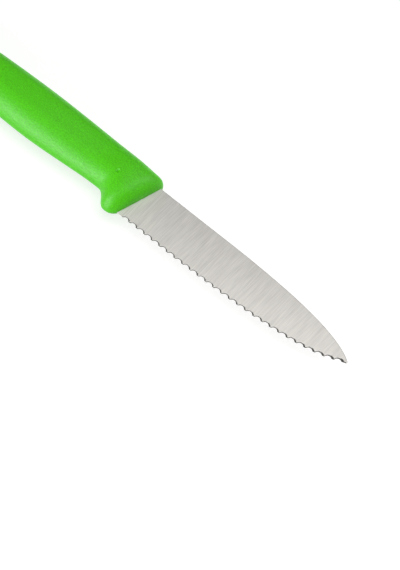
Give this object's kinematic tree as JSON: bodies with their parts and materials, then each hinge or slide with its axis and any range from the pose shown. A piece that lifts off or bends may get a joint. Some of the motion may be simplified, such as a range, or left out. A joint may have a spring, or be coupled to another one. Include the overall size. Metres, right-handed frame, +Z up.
{
  "type": "serrated paring knife",
  "caption": "Small kitchen knife with a pointed, wavy-edged steel blade and a bright green moulded plastic handle with a finger guard, for paring and slicing fruit and vegetables.",
  "frame": {"origin": "middle of the knife's footprint, on the surface that it lies on", "axes": "+X along the knife towards the tip, +Y towards the spine, +Z up, out of the side that the waves are ground from"},
  "size_m": [0.1878, 0.0194, 0.012],
  "materials": {
    "blade_steel": "satin stainless steel with fine grinding lines from the spine to the edge",
    "green_plastic": "bright green moulded plastic with a fine grain, slightly satin"
  },
  "bodies": {
    "root": {"blade": "blade_steel", "handle": "green_plastic"}
  },
  "joints": []
}
